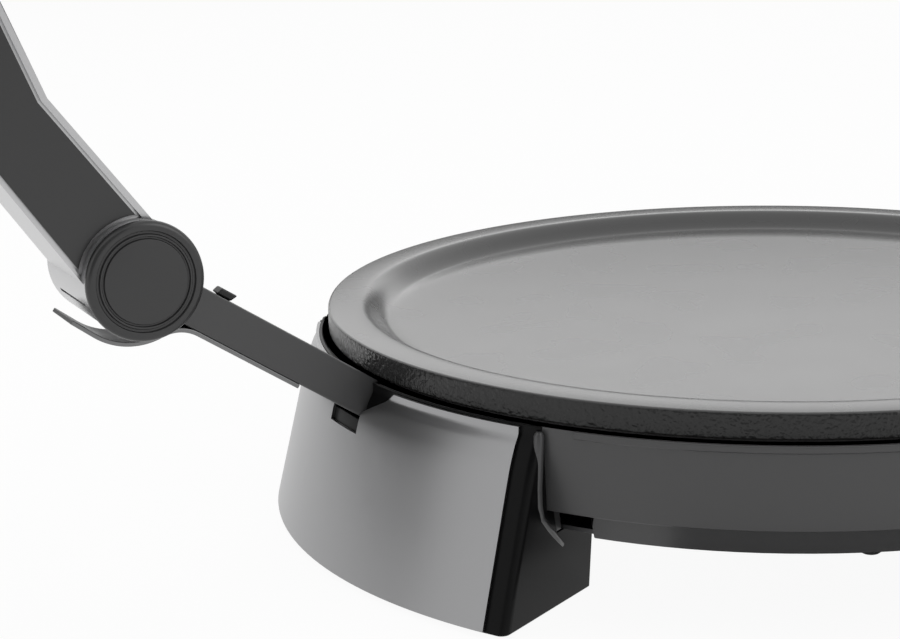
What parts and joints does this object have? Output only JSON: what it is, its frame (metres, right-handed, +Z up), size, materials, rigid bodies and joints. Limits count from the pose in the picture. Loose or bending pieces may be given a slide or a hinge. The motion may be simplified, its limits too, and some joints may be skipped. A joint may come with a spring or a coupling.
{
  "type": "electric crepe maker",
  "caption": "Round countertop crepe maker: dished cast plate on a drum with two wide legs, and a lid on an upright hinged arm that plugs into the rear leg.",
  "frame": {"origin": "bottom centre of the object's box, with the lid open", "axes": "+Z up; +Y from the control panel towards the hinge; +X to the right of someone who stands at the control panel"},
  "size_m": [0.3084, 0.5418, 0.4921],
  "materials": {
    "drum_black": "satin",
    "leg_black": "satin",
    "trim_black": "gloss",
    "silver_skin": "satin metallic",
    "silver_arm": "satin metallic",
    "pan_steel": "blackened",
    "bright_steel": "bright",
    "strap_steel": "dull",
    "lid_steel": "brushed",
    "liner_aluminium": "plain",
    "plate_iron": "non-stick coated",
    "element_steel": "heat-tinted",
    "arm_dark": "satin",
    "lever_black": "matte",
    "inner_plastic": "matte",
    "washer_plastic": "matte",
    "pin_brass": "plain",
    "rocker_red": "gloss",
    "lamp_red": "tinted",
    "lamp_green": "tinted",
    "foot_rubber": "matte"
  },
  "bodies": {
    "base": {"base_shell": "drum_black", "base_pan": "pan_steel", "rear_leg": "leg_black", "rear_skin": "silver_skin", "front_leg": "leg_black", "front_skin": "silver_skin", "rear_leg_cover": "leg_black", "front_leg_cover": "leg_black", "rear_feet": "foot_rubber", "front_feet": "foot_rubber", "plate": "plate_iron", "plate_studs": "bright_steel", "stud_spacers": "pan_steel", "stud_nuts": "bright_steel", "reflector": "pan_steel", "heating_element": "element_steel", "element_clips": "pan_steel", "arm_socket": "leg_black", "pan_screws": "bright_steel", "leg_screws": "bright_steel", "control_panel": "trim_black", "thermostat": "inner_plastic", "rocker_frame": "trim_black", "power_lamp": "lamp_red", "ready_lamp": "lamp_green", "mains_inlet": "inner_plastic", "inlet_pins": "pin_brass", "terminal_block": "inner_plastic", "thermal_fuse": "inner_plastic"},
    "lower_unit": {"lower_arm": "arm_dark", "arm_strap": "strap_steel", "hinge_washers": "washer_plastic"},
    "lid_unit": {"arm_housing": "silver_arm", "arm_panel_left": "trim_black", "arm_panel_right": "trim_black", "arm_cover": "leg_black", "hinge_cap_left": "trim_black", "hinge_cap_right": "trim_black", "hinge_shaft": "bright_steel", "lid_shell": "lid_steel", "lid_liner": "liner_aluminium", "lid_trim": "leg_black", "lid_mount": "leg_black", "mount_screws": "bright_steel", "handle_posts": "leg_black", "handle_grip": "leg_black", "handle_screws": "bright_steel"},
    "lever": {"release_lever": "lever_black"},
    "knob": {"thermostat_knob": "trim_black", "knob_shaft": "bright_steel"},
    "rocker": {"power_rocker": "rocker_red"}
  },
  "joints": [
    {"name": "lid_unit_lift", "type": "slide", "parent": "base", "child": "lower_unit", "axis": [0, 0.8329, 0.5534], "range_m": [0, 0.03]},
    {"name": "lid_hinge", "type": "hinge", "parent": "lower_unit", "child": "lid_unit", "pos_m": [0, 0.13496, 0.1035], "axis": [1, 0, 0], "range_deg": [0, 112]},
    {"name": "release_lever", "type": "slide", "parent": "lower_unit", "child": "lever", "axis": [0, -0.8329, -0.5534], "range_m": [0, 0.004], "stiffness_N_per_m": 300},
    {"name": "thermostat_knob", "type": "hinge", "parent": "base", "child": "knob", "pos_m": [0, -0.25384, 0.04], "axis": [0, -0.9713, 0.238], "range_deg": [-270, 0]},
    {"name": "power_rocker", "type": "hinge", "parent": "base", "child": "rocker", "pos_m": [0.034, -0.25189, 0.03952], "axis": [1, 0, 0], "range_deg": [-10, 0]}
  ]
}
